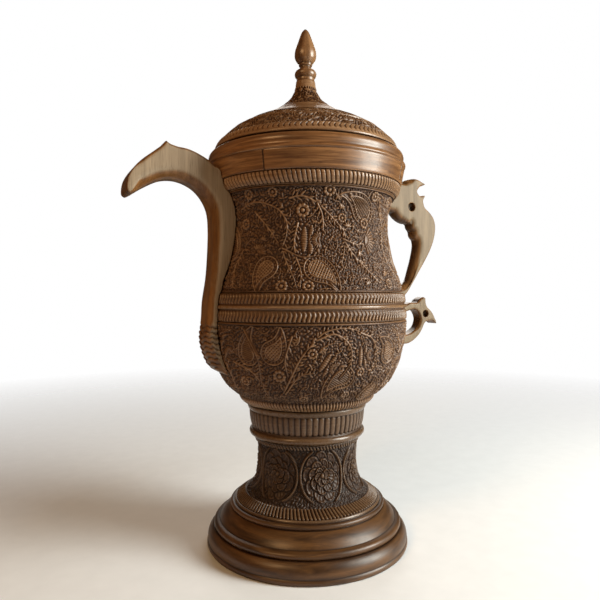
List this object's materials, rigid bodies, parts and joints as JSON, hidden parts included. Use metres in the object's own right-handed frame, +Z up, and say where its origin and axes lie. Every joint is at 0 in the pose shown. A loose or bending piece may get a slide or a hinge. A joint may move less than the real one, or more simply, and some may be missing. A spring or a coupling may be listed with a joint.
{
  "type": "lidded ewer",
  "caption": "Tall turned and carved wooden ewer in a samovar shape, with a lift-off domed lid, a curved board spout and bird-headed handles on the opposite side.",
  "frame": {"origin": "on the turning axis, at the flat underside of the base", "axes": "+Z up along the turning axis; the spout points to -X and both handles to +X, all in the XZ plane"},
  "size_m": [0.4081, 0.239, 0.61],
  "materials": {
    "carved_walnut": "deep hand carving, stained and oiled, satin on the high spots",
    "polished_walnut": "turned smooth and polished",
    "spout_walnut": "sanded flat faces with polished round edges",
    "handle_walnut": "sanded flat faces with polished round edges",
    "dowel_wood": "plain hardwood dowel, unfinished"
  },
  "bodies": {
    "vessel": {"base_plinth": "polished_walnut", "base_cap": "polished_walnut", "base_dowel": "dowel_wood", "pedestal_stem": "carved_walnut", "stem_collar": "polished_walnut", "bowl_dowel": "dowel_wood", "lower_bowl": "carved_walnut", "belt_ring": "carved_walnut", "upper_body": "carved_walnut", "flute_segments": "carved_walnut", "rim_segments": "polished_walnut", "spout": "spout_walnut", "spout_dowels": "dowel_wood", "upper_handle": "handle_walnut", "upper_handle_dowels": "dowel_wood", "lower_handle": "handle_walnut", "lower_handle_dowels": "dowel_wood"},
    "lid": {"lid_spigot": "polished_walnut", "lid_ring": "polished_walnut", "lid_dome": "carved_walnut", "lid_crown": "carved_walnut", "finial": "polished_walnut"}
  },
  "joints": [
    {"name": "lid_lift", "type": "slide", "parent": "vessel", "child": "lid", "axis": [0, 0, 1], "range_m": [0, 0.15]}
  ]
}
